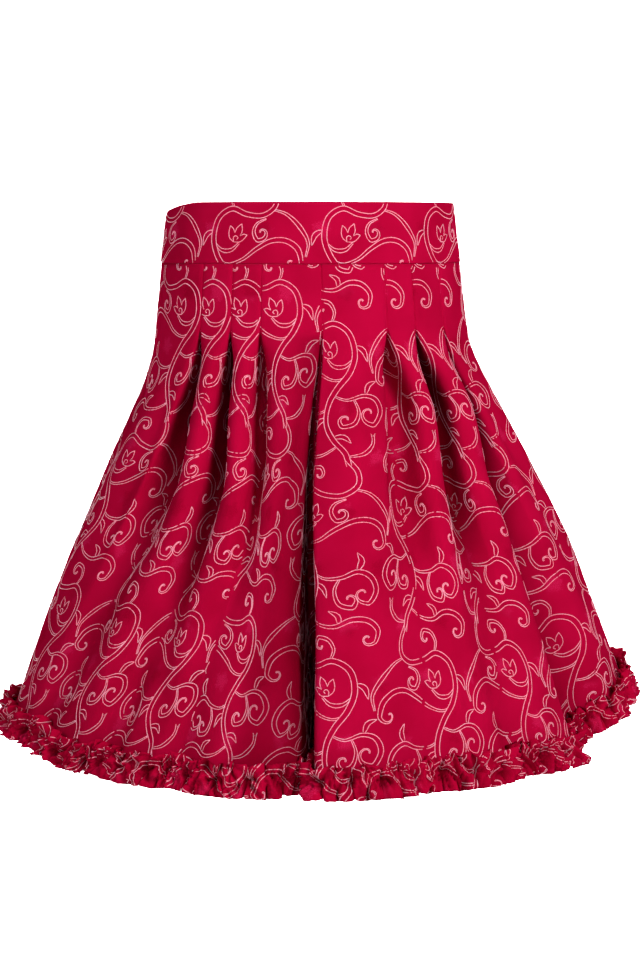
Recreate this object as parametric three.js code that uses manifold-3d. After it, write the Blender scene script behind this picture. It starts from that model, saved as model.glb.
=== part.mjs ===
// A short pleated kilt skirt for folk dress, filled out as it is worn.
// A deep waistband carries a skirt that is stitched flat into knife pleats over the hips. Below the
// stitching the pleats open into rounded folds and one deep inverted pleat at the centre front, and a
// gathered strip of the same cloth runs round the hem. A concealed zip closes the centre back seam.
// Frame: millimetres, +Z up, -Y to the front, +X to the right as the front is looked at. The origin is
// the middle of the waist, halfway up the waistband.

import * as THREE from "three";
import Module from "manifold-3d";

import { mergeVertices } from "three/addons/utils/BufferGeometryUtils.js";

const wasm = await Module();
wasm.setup();

// ---- driving dimensions ----

const bandHeight = 54;
const bandTop = -bandHeight / 2; // levels are drops below the waist line
const bandFoot = bandHeight / 2;
const stitchedDrop = 85; // where the stitching of the pleats ends
const hemDrop = 464; // lower edge of the skirt cloth at the front
const clothThickness = 1.6;
const bandThickness = 2.6;
const bandProud = 0.8; // the doubled waistband stands this far out over the skirt cloth
const seamGap = 0.3;

const knifeTakeUp = 70; // cloth folded into one knife pleat
const stitchedGroove = 1.0; // depth of a pleat's edge where it is stitched flat
const stitchedHalf = 1.2; // half width of that edge
const openingRun = 42; // how far below the stitching a pleat takes to open
const deepUntil = 0.15; // the share of the way from there to the hem where it starts to die out
// Below the stitching the sides of a pleat stand steep: how much, how squarely, and over what share.
const steepFold = { amount: 0.9, power: 3.6, from: 0.08, over: 0.4 };

const hemLifts = [
  { rise: 42, from: 52, to: 82 }, // the hem is held up on the right side, from angle to angle
  { rise: 13, from: -50, to: -82 }, // and a little on the left
];
const backFade = 60; // both fade out over these degrees before the centre back
const pleatLift = 8; // and rises at the back of the inverted pleat
// The waistband's top edge sits lower on the left side.
const bandDip = { fall: 9, from: -54, to: -90, fade: 85, power: 1.2 };

const ruffleWave = 13.5; // length of hem to one gathered wave
const ruffleAbove = 24; // top edge of the gathered strip over the skirt's edge
const ruffleBelow = 4; // and its lower edge under it
const rufflePuff = 5.5;
const ruffleThickness = 1.1;
const ruffleSeat = 0.95;

// The closed zip's slider, near the top of the centre back seam, and its pull tab: x across, y out, z up.
const slider = { width: 6.4, depth: 2.0, height: 8.5, level: 13 };
const staple = { width: 1.4, rise: 2.5, height: 5.0, thick: 0.8, chamfer: 0.7, root: 0.4 };
const pull = {
  width: 5.0, length: 19, thick: 0.9, bar: 0.9, chamfer: 1.2, tip: 2.5, tipSteps: 8,
  eyeWidth: 2.6, eyeHeight: 3.1,
};
const runningGap = 0.35;

// Half sizes of the outline at each level. The draws are how far it is pulled in between its four sides.
const sections = [
  { drop: -27, left: 130, right: 130, front: 99, back: 99, drawLeft: 0, drawRight: 0 },
  { drop: 27, left: 136.5, right: 136.5, front: 105, back: 105, drawLeft: 0, drawRight: 0 },
  { drop: 85, left: 142, right: 143, front: 112, back: 112, drawLeft: 0, drawRight: 0 },
  { drop: 112, left: 145.5, right: 148, front: 119, back: 119, drawLeft: 0.01, drawRight: 0.01 },
  { drop: 150, left: 157, right: 164.5, front: 134, back: 133, drawLeft: 0.02, drawRight: 0.03 },
  { drop: 224, left: 190.5, right: 200, front: 166, back: 161, drawLeft: 0.04, drawRight: 0.05 },
  { drop: 335, left: 236, right: 249, front: 206, back: 198, drawLeft: 0.06, drawRight: 0.06 },
  { drop: 464, left: 281, right: 295, front: 241, back: 230, drawLeft: 0.08, drawRight: 0.05 },
];

// The knife pleats and the inverted one, from the left back round the front to the right back. The three
// angles are where one runs, from the centre front: where it is stitched, at upperDrop and at middleDrop;
// cloth lengths fix it at the hem. gain is the share of its cloth that goes into depth, and ends the share
// of the way to the hem over which that dies out. lean pushes its bottom sideways under the neighbouring
// fold, and crisp is how sharply it turns in on its left and right edge; 1 is a soft roll. The hem columns
// say the same at the hem.
const pleatRows = [
  [
    "angle", "upper", "middle", "gain", "ends", "lean", "crispL", "crispR",
    "hemDepth", "hemLean", "hemCrisp",
  ],
  [-156, -154, -150, 0.55, 0.7, 5, 1.2, 2.0, 5, 0, 1],
  [-143, -141, -137, 0.8, 0.8, 6, 1.5, 2.2, 4, 0, 1],
  [-129.5, -129, -125, 0.7, 0.9, 6, 1.5, 2.2, 12, 4, 1],
  [-47.3, -49.8, -49.9, 0.85, 0.75, -7, 1.8, 1.3, 5, 0, 1],
  [-33.6, -35.1, -31.4, 0.9, 0.8, -6, 1.8, 1.4, 5, 0, 1],
  [-22, -21.3, -19.3, 0.8, 0.66, -3, 1.6, 1.4, 4, 0, 1],
  [0],
  [24.3, 25.7, 21.5, 0.95, 0.78, 5, 1.8, 1.6, 4, 0, 1],
  [36.5, 44.5, 40, 0.9, 0.78, 7, 1.4, 1.9, 5, 0, 1],
  [52.5, 62, 56.6, 0.8, 0.9, 6, 1.5, 1.9, 23, -7, 1.4],
  [129.5, 129, 125, 0.75, 0.9, -6, 2.2, 1.5, 9, -3, 1.4],
  [143, 141, 137, 0.85, 0.8, -6, 2.2, 1.5, 5, 0, 1],
  [156, 154, 150, 0.5, 0.7, -5, 2.0, 1.2, 4, 0, 1],
];
const [pleatColumns, ...pleatValues] = pleatRows;
const pleats = pleatValues.map((row) => Object.fromEntries(row.map((value, k) => [pleatColumns[k], value])));
const centre = pleats.findIndex((p) => p.angle === 0);
pleats[centre].inverted = true;
const [upperDrop, middleDrop] = [150, 224];

// The inverted pleat at each level: how far it has moved to the left, half the width of its slot, its
// depth, how far its bottom leans, and how broadly the cloth rolls into it on the left and on the right.
const invertedPleat = [
  { drop: 27, moved: 0, half: 0.8, depth: 1, lean: 0, rollL: 0.5, rollR: 0.5 },
  { drop: 85, moved: 0, half: 1.0, depth: 1, lean: 0, rollL: 0.5, rollR: 0.5 },
  { drop: 112, moved: 2, half: 1.8, depth: 12, lean: 1, rollL: 4, rollR: 2 },
  { drop: 150, moved: 8, half: 3.0, depth: 24, lean: 2, rollL: 6, rollR: 3 },
  { drop: 224, moved: 17, half: 4.0, depth: 48, lean: 4, rollL: 13, rollR: 4 },
  { drop: 335, moved: 23, half: 8.0, depth: 92, lean: 8, rollL: 24, rollR: 5 },
  { drop: 410, moved: 24, half: 6.0, depth: 124, lean: 11, rollL: 34, rollR: 6 },
  { drop: 464, moved: 23, half: 4.2, depth: 142, lean: 13, rollL: 52, rollR: 7 },
];

const levels = [27.15, 58, 85, 95, 108, 125, 148, 184, 232, 288, 345, 404, 436, 464];
const ruffleTopLevel = levels.at(-2);

const materials = {
  brocade: new THREE.MeshStandardMaterial({ color: 0xb80a3c, roughness: 0.55, metalness: 0 }),
  ruffle: new THREE.MeshStandardMaterial({ color: 0xa50835, roughness: 0.6, metalness: 0 }),
  zip: new THREE.MeshStandardMaterial({ color: 0x9c1236, roughness: 0.35, metalness: 0.6 }),
};

// ---- curves through the tables ----

const degree = Math.PI / 180;
const mix = (a, b, t) => a + (b - a) * t;
const clamp = (x, low, high) => Math.min(high, Math.max(low, x));
const smooth = (x) => clamp(x, 0, 1) ** 2 * (3 - 2 * clamp(x, 0, 1));

// The value of one column of a table at a level, on a smooth curve through its rows.
function lookUp(table, column, drop) {
  let i = table.findIndex((row) => row.drop >= drop);
  i = clamp(i < 0 ? table.length - 1 : i, 1, table.length - 1);
  const [a, b] = [table[i - 1], table[i]];
  const before = table[Math.max(i - 2, 0)];
  const after = table[Math.min(i + 1, table.length - 1)];
  const slope = (p, q) => (q[column] - p[column]) / (q.drop - p.drop);
  const span = b.drop - a.drop;
  const t = (drop - a.drop) / span;
  const startSlope = before === a ? slope(a, b) : slope(before, b);
  const endSlope = after === b ? slope(a, b) : slope(a, after);
  return (
    a[column] * (1 + 2 * t) * (1 - t) ** 2 +
    b[column] * t * t * (3 - 2 * t) +
    span * t * (1 - t) * (startSlope * (1 - t) - endSlope * t)
  );
}

// A point of the plain outline, angle in degrees from the centre front, with no pleats in it.
function outline(angle, drop) {
  const [s, c] = [Math.sin(angle * degree), Math.cos(angle * degree)];
  const wide = lookUp(sections, s < 0 ? "left" : "right", drop);
  const deep = lookUp(sections, c < 0 ? "back" : "front", drop);
  const share = 1 - lookUp(sections, s < 0 ? "drawLeft" : "drawRight", drop) * (2 * s * c) ** 2;
  return new THREE.Vector2(wide * s * share, -deep * c * share);
}

const angleStep = 0.05;
const alongOutline = (angle, drop) =>
  outline(angle + angleStep, drop).sub(outline(angle - angleStep, drop)).divideScalar(2 * angleStep);
const outward = (angle, drop) => {
  const t = alongOutline(angle, drop).normalize();
  return new THREE.Vector2(t.y, -t.x);
};

// Length of the outline from one angle to another, and the angle at a length from the centre front.
function arc(from, to, drop) {
  const steps = Math.max(4, Math.ceil(Math.abs(to - from)));
  let sum = 0;
  for (let i = 0; i < steps; i++)
    sum += outline(mix(from, to, i / steps), drop).distanceTo(outline(mix(from, to, (i + 1) / steps), drop));
  return sum;
}
function angleAt(length, side, drop) {
  let [low, high] = [0, 180];
  for (let i = 0; i < 30; i++) {
    const middle = (low + high) / 2;
    if (arc(0, side * middle, drop) < length) low = middle;
    else high = middle;
  }
  return (side * (low + high)) / 2;
}

// ---- where each pleat runs ----

const invertedHalf = (side, drop) =>
  lookUp(invertedPleat, "half", drop) + lookUp(invertedPleat, side < 0 ? "rollL" : "rollR", drop);

// Flat cloth between pleat i and the next one, and between the end pleats and the centre back seam.
const seamAngles = [-180, ...pleats.map((p) => p.angle), 180];
const flatBetween = (i) => {
  const pleatsHere = i < 0 || i === pleats.length - 1 ? 1 : 2;
  return arc(seamAngles[i + 1], seamAngles[i + 2], stitchedDrop) - pleatsHere * stitchedHalf;
};
const flats = pleats.map((p, i) => flatBetween(i));
flats[-1] = flatBetween(-1);

// Where each pleat ends at the hem: the cloth is shared out evenly along it, from the inverted pleat back.
for (const side of [-1, 1]) {
  const moved = -side * lookUp(invertedPleat, "moved", hemDrop);
  const flatBeside = (i) => flats[side > 0 ? i : i - 1];
  let length = invertedHalf(side, hemDrop) + flatBeside(centre);
  for (let i = centre + side; pleats[i]; i += side) {
    pleats[i].hemLength = length + knifeTakeUp / 2;
    length += knifeTakeUp + flatBeside(i);
  }
  const fit = (arc(0, side * 180, hemDrop) - moved) / length;
  for (let i = centre + side; pleats[i]; i += side)
    pleats[i].hemAngle = angleAt(pleats[i].hemLength * fit + moved, side, hemDrop);
}

const openShare = (drop) => clamp((drop - stitchedDrop) / (hemDrop - stitchedDrop), 0, 1);
function pleatAngle(p, drop) {
  if (p.inverted) return -lookUp(invertedPleat, "moved", drop) / alongOutline(0, drop).length();
  if (drop <= stitchedDrop) return p.angle;
  const path = [
    { drop: stitchedDrop, angle: p.angle },
    { drop: upperDrop, angle: p.upper },
    { drop: middleDrop, angle: p.middle },
    { drop: hemDrop, angle: p.hemAngle },
  ];
  return lookUp(path, "angle", drop);
}

// The share by which the cloth between two near pleats narrows as it bulges out below the stitching.
const bulge = { share: 0.16, narrow: 25, wide: 85, fade: 0.25, gone: 0.95, roundness: 0.65 };
const narrowing = (i, drop) =>
  bulge.share *
  clamp((bulge.wide - flats[i]) / (bulge.wide - bulge.narrow), 0, 1) *
  smooth((drop - stitchedDrop) / openingRun) *
  (1 - smooth((openShare(drop) - bulge.fade) / (bulge.gone - bulge.fade)));

// Half widths of a knife pleat to its left and right. What the cloth between two pleats doesn't fill, they
// share, and a pleat beside the inverted one has two equal halves.
const leastHalf = 0.8;
function halves(i, drop) {
  const here = pleatAngle(pleats[i], drop);
  const [left, right] = [-1, 1].map((side) => {
    const between = side < 0 ? i - 1 : i;
    const flat = flats[between] * (1 - narrowing(between, drop));
    const next = pleats[i + side];
    if (!next) return Math.max(leastHalf, arc(here, side * 180, drop) - flat);
    if (next.inverted) return undefined;
    return Math.max(leastHalf, (arc(here, pleatAngle(next, drop), drop) - flat) / 2);
  });
  return [left ?? right, right ?? left];
}

// ---- the surface of the skirt ----

// The fold of a knife pleat across its cloth, t from -1 to 1: sideways offset and depth, in millimetres.
function knifeFold(i, t, drop) {
  const p = pleats[i];
  const [left, right] = halves(i, drop);
  const u = openShare(drop);
  const opening = smooth((drop - stitchedDrop) / openingRun);
  const half = Math.min((left + right) / 2, knifeTakeUp / 2);
  const dying = 1 - smooth((u - deepUntil) / (p.ends - deepUntil));
  const full = p.gain * Math.sqrt((knifeTakeUp / 2) ** 2 - half ** 2) * dying;
  const depth = mix(stitchedGroove, full, opening) + p.hemDepth * u ** 2;
  const crisp = mix(t < 0 ? p.crispL : p.crispR, p.hemCrisp, u);
  const reach = 1 - (1 - Math.abs(t)) ** crisp;
  const roundness = (bulge.roundness * narrowing(i, drop)) / bulge.share;
  const soft = mix(Math.cos((Math.PI * t) / 2) ** 2, 1 - t * t, roundness);
  const steep = steepFold.amount * opening * (1 - smooth((u - steepFold.from) / steepFold.over));
  const sink = mix(soft, 1 - Math.abs(t) ** steepFold.power, steep);
  const lean = (p.lean * dying + p.hemLean * u ** 2) * opening;
  return { across: (t < 0 ? -left : right) * reach + lean * sink, depth: depth * sink };
}

// The inverted pleat: a roll at each edge, two flat sides and a round bottom, t from -1 to 1 along it.
function invertedFold(t, drop) {
  const at = (column) => lookUp(invertedPleat, column, drop);
  const [half, depth] = [at("half"), at("depth")];
  const roll = at(t < 0 ? "rollL" : "rollR");
  const [bottomRise, rollDrop] = [Math.min(half, depth / 2), Math.min(roll, depth / 2)];
  const bottom = ((half + bottomRise) / 2) * (Math.PI / 2);
  const edge = ((roll + rollDrop) / 2) * (Math.PI / 2);
  const flank = depth - bottomRise - rollDrop;
  let run = Math.abs(t) * (bottom + flank + edge);
  let [x, n] = [half, 0];
  if (run < bottom) {
    const a = (run / bottom) * (Math.PI / 2);
    [x, n] = [half * Math.sin(a), depth - bottomRise * (1 - Math.cos(a))];
  } else if (run < bottom + flank) {
    n = depth - bottomRise - (run - bottom);
  } else {
    const a = ((run - bottom - flank) / edge) * (Math.PI / 2);
    [x, n] = [half + roll * (1 - Math.cos(a)), rollDrop * (1 - Math.sin(a))];
  }
  return { across: Math.sign(t) * x + at("lean") * (n / depth), depth: n };
}

// How far the cloth between two pleats bulges out: the height of a shallow arch of that much spare length.
function swell(i, width, drop) {
  const spare = flats[i] * narrowing(i, drop);
  return Math.sqrt((3 / 8) * width * spare);
}

// How far the hem is held up at an angle.
function hemRise(angle) {
  const rises = hemLifts.map(({ rise, from, to }) => rise * smooth((angle - from) / (to - from)));
  return (rises[0] + rises[1]) * smooth((180 - Math.abs(angle)) / backFade);
}

// A point of the outer face of the skirt. A column is either { fold, t } or { flat, share }: pleat number
// and place across its cloth, or the number of the pleat to its left and the share of the cloth from there
// to the next.
function skirtPoint(column, drop) {
  let place, angle, deep = 0;
  if (column.fold !== undefined) {
    const p = pleats[column.fold];
    const middle = pleatAngle(p, drop);
    const shape = p.inverted ? invertedFold(column.t, drop) : knifeFold(column.fold, column.t, drop);
    const { across, depth } = shape;
    angle = middle + across / alongOutline(middle, drop).length();
    place = outline(angle, drop).addScaledVector(outward(middle, drop), -depth);
    if (p.inverted) deep = depth / lookUp(invertedPleat, "depth", hemDrop);
  } else {
    const edge = (i, side) => {
      if (i < 0 || i >= pleats.length) return side > 0 ? -180 : 180;
      const middle = pleatAngle(pleats[i], drop);
      const half = pleats[i].inverted ? invertedHalf(side, drop) : halves(i, drop)[side < 0 ? 0 : 1];
      return middle + (side * half) / alongOutline(middle, drop).length();
    };
    const [from, to] = [edge(column.flat, 1), edge(column.flat + 1, -1)];
    angle = mix(from, to, column.share);
    const out = swell(column.flat, arc(from, to, drop), drop) * 4 * column.share * (1 - column.share);
    place = outline(angle, drop).addScaledVector(outward(angle, drop), out);
  }
  const share = clamp((drop - bandFoot) / (hemDrop - bandFoot), 0, 1);
  const z = -drop + share * (hemRise(angle) + pleatLift * deep);
  return new THREE.Vector3(place.x, place.y, z);
}

// ---- columns ----

// Places across a pleat. Its last one, 1, is the first of the flat cloth that follows.
const knifePlaces = [-1, -0.9, -0.76, -0.5, -0.18, 0.18, 0.5, 0.76, 0.9];
const leftPlaces = [-1, -0.94, -0.88, -0.82, -0.76, -0.69, -0.6, -0.5, -0.3, -0.12, -0.04];
const rightPlaces = [0.04, 0.12, 0.3, 0.5, 0.7, 0.86, 0.94];
const invertedPlaces = [...leftPlaces, ...rightPlaces];
const flatSteps = (i) => {
  const next = pleats[i + 1]?.angle ?? 180;
  const here = pleats[i]?.angle ?? -180;
  return Math.max(2, Math.round((next - here) / 9.5));
};

// The columns from the left centre back all round to the right one, and the two side seams among them.
const columns = [];
for (let i = -1; i < pleats.length; i++) {
  if (i >= 0)
    for (const t of pleats[i].inverted ? invertedPlaces : knifePlaces) columns.push({ fold: i, t });
  const steps = flatSteps(i);
  const last = i === pleats.length - 1 ? steps : steps - 1;
  for (let k = 0; k <= last; k++) columns.push({ flat: i, share: k / steps });
}
const sideSeam = (side) => {
  const i = side < 0 ? 2 : pleats.length - 4;
  return columns.findIndex((c) => c.flat === i && c.share >= 0.499);
};

const outerWall = columns.map((c) => levels.map((drop) => skirtPoint(c, drop)));

// Faces out from a grid of points, or along the plain outline's direction where the pleats are stitched.
function facing(grid, i, j) {
  const from = grid[Math.max(i - 1, 0)][j];
  const to = grid[Math.min(i + 1, grid.length - 1)][j];
  const up = grid[i][Math.max(j - 1, 0)];
  const down = grid[i][Math.min(j + 1, grid[i].length - 1)];
  return to.clone().sub(from).cross(up.clone().sub(down)).normalize();
}
const settleRun = 24;
const plainFacing = (point) => new THREE.Vector3(point.x / 1.3, point.y, 0).normalize();
const wallFacing = outerWall.map((line, i) =>
  line.map((point, j) => {
    const settled = smooth((levels[j] - stitchedDrop) / settleRun);
    return plainFacing(point).lerp(facing(outerWall, i, j), settled).normalize();
  }),
);

// ---- solids ----

// A closed wall between an outer and an inner grid of points, columns from left to right and rows from top
// to bottom. A ring's last column joins its first one.
function wall(outer, inner, ring = false) {
  const [nCols, nRows] = [outer.length, outer[0].length];
  const points = [...outer.flat(), ...inner.flat()];
  const id = (side, i, j) => side * nCols * nRows + (i % nCols) * nRows + j;
  const faces = [];
  const quad = (a, b, c, d) => faces.push(a, b, c, a, c, d);
  const spans = ring ? nCols : nCols - 1;
  for (let i = 0; i < spans; i++) {
    for (let j = 0; j < nRows - 1; j++) {
      quad(id(0, i, j), id(0, i, j + 1), id(0, i + 1, j + 1), id(0, i + 1, j));
      quad(id(1, i, j), id(1, i + 1, j), id(1, i + 1, j + 1), id(1, i, j + 1));
    }
    quad(id(0, i, 0), id(0, i + 1, 0), id(1, i + 1, 0), id(1, i, 0));
    const low = nRows - 1;
    quad(id(0, i, low), id(1, i, low), id(1, i + 1, low), id(0, i + 1, low));
  }
  if (!ring)
    for (let j = 0; j < nRows - 1; j++) {
      quad(id(0, 0, j), id(1, 0, j), id(1, 0, j + 1), id(0, 0, j + 1));
      const end = nCols - 1;
      quad(id(0, end, j), id(0, end, j + 1), id(1, end, j + 1), id(1, end, j));
    }
  const geometry = new THREE.BufferGeometry();
  geometry.setAttribute("position", new THREE.Float32BufferAttribute(points.flatMap((p) => p.toArray()), 3));
  geometry.setIndex(faces);
  return geometry;
}

const kilt = new THREE.Group();
function add(name, geometry, material) {
  const mesh = new THREE.Mesh(geometry, material);
  mesh.name = name;
  kilt.add(mesh);
  return mesh;
}

// Half a seam's gap is taken off the end column of a panel, towards its neighbour.
function trimEnds(grid) {
  const pull = (end, next) =>
    grid[end].map((p, j) => p.clone().lerp(grid[next][j], seamGap / 2 / p.distanceTo(grid[next][j])));
  const n = grid.length;
  return [pull(0, 1), ...grid.slice(1, n - 1), pull(n - 1, n - 2)];
}

function skirtPanel(name, from, to) {
  const outer = outerWall.slice(from, to + 1);
  const inner = outer.map((line, i) =>
    line.map((p, j) => p.clone().addScaledVector(wallFacing[from + i][j], -clothThickness)),
  );
  add(name, wall(trimEnds(outer), trimEnds(inner)), materials.brocade);
}

const [leftSeam, rightSeam] = [sideSeam(-1), sideSeam(1)];
skirtPanel("skirt_front", leftSeam, rightSeam);
skirtPanel("skirt_back_left", 0, leftSeam);
skirtPanel("skirt_back_right", rightSeam, columns.length - 1);

// The waistband: a plain doubled band cut to the curve of the waist.
const bandRows = [bandTop, -9, 9, bandFoot - seamGap / 2];
function bandPanel(name, from, to) {
  const steps = Math.round((to - from) / 6);
  const ring = (offset) =>
    Array.from({ length: steps + 1 }, (_, i) => {
      const angle = mix(from, to, i / steps);
      const share = clamp((angle - bandDip.from) / (bandDip.to - bandDip.from), 0, 1) ** bandDip.power;
      const dip = bandDip.fall * share * smooth((angle + 180) / bandDip.fade);
      return bandRows.map((row) => {
        const drop = row + (dip * (bandFoot - row)) / bandHeight;
        const p = outline(angle, drop).addScaledVector(outward(angle, drop), offset);
        return new THREE.Vector3(p.x, p.y, -drop);
      });
    });
  add(name, wall(trimEnds(ring(bandProud)), trimEnds(ring(bandProud - bandThickness))), materials.brocade);
}
bandPanel("waistband_front", -90, 90);
bandPanel("waistband_back_left", -180, -90);
bandPanel("waistband_back_right", 90, 180);

// The gathered strip round the hem: a wavy wall that stands on the skirt's own points, tacked down along
// its middle.
const topRow = levels.indexOf(ruffleTopLevel);
const hemRow = levels.length - 1;
const ringLength = (i, j) => outerWall[i][j].distanceTo(outerWall[(i + 1) % outerWall.length][j]);
const hemRun = [0];
for (let i = 0; i < outerWall.length - 1; i++) hemRun.push(hemRun.at(-1) + ringLength(i, hemRow));
const waves = Math.round(hemRun.at(-1) / ruffleWave);
const samplesPerWave = 4;

// Height above the skirt's edge, share of the puff, and how far the crests lag behind those at the top.
const ruffleRows = [
  { height: ruffleAbove, puff: 1, lag: 0 },
  { height: 10, puff: 0.3, lag: 0.12 },
  { height: -ruffleBelow, puff: 0.85, lag: 0.24 },
];

function rufflePlace(run) {
  let i = hemRun.findIndex((r) => r > run) - 1;
  if (i < 0) i = hemRun.length - 2;
  const t = (run - hemRun[i]) / (hemRun[i + 1] - hemRun[i]);
  const [upper, lower] = [topRow, hemRow].map((j) => outerWall[i][j].clone().lerp(outerWall[i + 1][j], t));
  const face = wallFacing[i][hemRow].clone().lerp(wallFacing[i + 1][hemRow], t);
  const inPleat = [columns[i], columns[i + 1]].some((c) => c.fold === centre && Math.abs(c.t) < 0.9);
  return { upper, lower, face: face.normalize(), inPleat };
}

const ruffleOuter = [];
const ruffleInner = [];
for (let k = 0; k < waves * samplesPerWave; k++) {
  const run = (k / (waves * samplesPerWave)) * hemRun.at(-1);
  const { upper, lower, face, inPleat } = rufflePlace(run);
  const rise = upper.clone().sub(lower).normalize();
  const place = (row, extra) => {
    const phase = (k / samplesPerWave - row.lag) * 2 * Math.PI;
    const puff = rufflePuff * row.puff * (inPleat ? 0.4 : 1) * (0.5 - 0.5 * Math.cos(phase));
    return lower.clone().addScaledVector(rise, row.height).addScaledVector(face, ruffleSeat + puff + extra);
  };
  ruffleOuter.push(ruffleRows.map((row) => place(row, ruffleThickness)));
  ruffleInner.push(ruffleRows.map((row) => place(row, 0)));
}
add("hem_ruffle", wall(ruffleOuter, ruffleInner, true), materials.ruffle);

// ---- the zip at the centre back ----

function toManifold(geometry) {
  geometry.deleteAttribute("normal");
  geometry.deleteAttribute("uv");
  const merged = mergeVertices(geometry, 1e-4);
  const mesh = new wasm.Mesh({
    numProp: 3,
    vertProperties: new Float32Array(merged.attributes.position.array),
    triVerts: new Uint32Array(merged.index.array),
  });
  return new wasm.Manifold(mesh);
}
function toGeometry(solid) {
  const mesh = solid.getMesh();
  const geometry = new THREE.BufferGeometry();
  geometry.setAttribute("position", new THREE.BufferAttribute(mesh.vertProperties, 3));
  geometry.setIndex(new THREE.BufferAttribute(mesh.triVerts, 1));
  return geometry;
}

// A plate of an outline, with an optional hole, centred on its own thickness.
function plate(points, thick, hole) {
  const vectors = (list) => list.map(([x, y]) => new THREE.Vector2(x, y));
  const shape = new THREE.Shape(vectors(points));
  if (hole) shape.holes.push(new THREE.Path(vectors(hole)));
  return new THREE.ExtrudeGeometry(shape, { depth: thick, bevelEnabled: false }).translate(0, 0, -thick / 2);
}

// The slider and the staple that stands on its face as an arch. x runs across, y out of the face, z up.
const faceAt = slider.depth / 2;
const stapleInside = staple.height / 2 - staple.thick;
function sliderSolid() {
  const { height, rise, thick, width, chamfer, root } = staple;
  const [end, top] = [height / 2, faceAt + rise];
  const arch = [
    [-end, faceAt - root], [-end, top - chamfer], [chamfer - end, top],
    [end - chamfer, top], [end, top - chamfer], [end, faceAt - root],
    [stapleInside, faceAt - root], [stapleInside, top - thick],
    [-stapleInside, top - thick], [-stapleInside, faceAt - root],
  ];
  const archSolid = toManifold(plate(arch, width).rotateY(-Math.PI / 2));
  return toManifold(new THREE.BoxGeometry(slider.width, slider.depth, slider.height)).add(archSolid);
}

// The pull tab, with an eye at its top. Its own origin is the middle of the bar over the eye.
function pullGeometry() {
  const [half, top] = [pull.width / 2, pull.bar / 2];
  const tip = Array.from({ length: pull.tipSteps + 1 }, (_, i) => {
    const a = (Math.PI * i) / pull.tipSteps;
    return [half * Math.cos(a), -pull.length + pull.tip * (1 - Math.sin(a))];
  });
  const shoulders = [[-half, top - pull.chamfer], [pull.chamfer - half, top]];
  const outlinePoints = [...tip, ...shoulders, ...shoulders.map(([x, y]) => [-x, y]).reverse()];
  const [eyeHalf, eyeFoot] = [pull.eyeWidth / 2, -top - pull.eyeHeight];
  const eye = [[-eyeHalf, -top], [-eyeHalf, eyeFoot], [eyeHalf, eyeFoot], [eyeHalf, -top]];
  return plate(outlinePoints, pull.thick, eye).rotateX(Math.PI / 2);
}

// The zip lies flat on the sloping back of the waistband.
const bandSlope = Math.atan2(sections[1].back - sections[0].back, bandHeight);
const bandFaceAt = outline(180, -slider.level).y + bandProud;
const zip = new THREE.Group();
zip.position.set(0, bandFaceAt + seamGap + slider.depth / 2, slider.level);
zip.rotation.x = bandSlope;
zip.add(add("zip_slider", toGeometry(sliderSolid()), materials.zip));
const pullMesh = add("zip_pull", pullGeometry(), materials.zip);
pullMesh.position.set(0, faceAt + runningGap + pull.thick / 2, runningGap + pull.bar / 2 - stapleInside);
zip.add(pullMesh);
kilt.add(zip);

export default kilt;
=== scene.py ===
import math

import bpy
import numpy as np
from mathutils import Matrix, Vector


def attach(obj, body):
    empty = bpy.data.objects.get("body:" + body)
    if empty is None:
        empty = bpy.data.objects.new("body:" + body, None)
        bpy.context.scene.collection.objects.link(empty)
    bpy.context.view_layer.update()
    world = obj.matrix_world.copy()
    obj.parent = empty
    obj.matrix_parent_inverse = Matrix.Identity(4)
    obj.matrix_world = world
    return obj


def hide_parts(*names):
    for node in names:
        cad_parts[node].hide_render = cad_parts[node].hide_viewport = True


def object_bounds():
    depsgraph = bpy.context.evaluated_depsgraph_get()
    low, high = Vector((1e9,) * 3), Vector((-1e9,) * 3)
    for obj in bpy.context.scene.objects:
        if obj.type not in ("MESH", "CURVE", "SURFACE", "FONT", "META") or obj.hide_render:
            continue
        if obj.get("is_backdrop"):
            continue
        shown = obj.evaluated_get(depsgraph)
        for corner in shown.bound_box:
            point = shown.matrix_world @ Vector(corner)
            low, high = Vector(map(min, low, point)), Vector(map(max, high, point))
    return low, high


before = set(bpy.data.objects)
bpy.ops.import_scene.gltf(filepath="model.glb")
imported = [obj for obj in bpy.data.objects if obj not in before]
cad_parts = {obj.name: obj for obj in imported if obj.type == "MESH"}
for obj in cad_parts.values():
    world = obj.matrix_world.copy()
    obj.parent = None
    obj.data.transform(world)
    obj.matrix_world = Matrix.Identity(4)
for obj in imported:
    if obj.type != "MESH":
        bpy.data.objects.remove(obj)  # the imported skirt, held at the middle of its waist: +Z up, -Y to the front
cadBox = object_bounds()
print("frame loaded:", ", ".join(sorted(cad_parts)))

degree = math.pi / 180
mm = 0.001  # a millimetre


def mix(a, b, t):
    return a + (b - a) * t


def smooth(x):
    x = np.clip(x, 0, 1)
    return x * x * (3 - 2 * x)


def between(x, low, high):  # from 0 at low to 1 at high
    return np.clip((x - low) / (high - low), 0, 1)


def bell(x):
    return np.exp(-(x * x))


def unit(vectors):
    return vectors / np.maximum(np.linalg.norm(vectors, axis=-1, keepdims=True), 1e-9)


def strides(points):  # from each point to the next
    return np.linalg.norm(np.diff(points, axis=0), axis=-1)


def runAlong(points):
    return np.concatenate([[0], np.cumsum(strides(points))])


def spread(low, high, steps):  # even steps, without the last place
    return np.linspace(low, high, steps + 1)[:-1]


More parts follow.
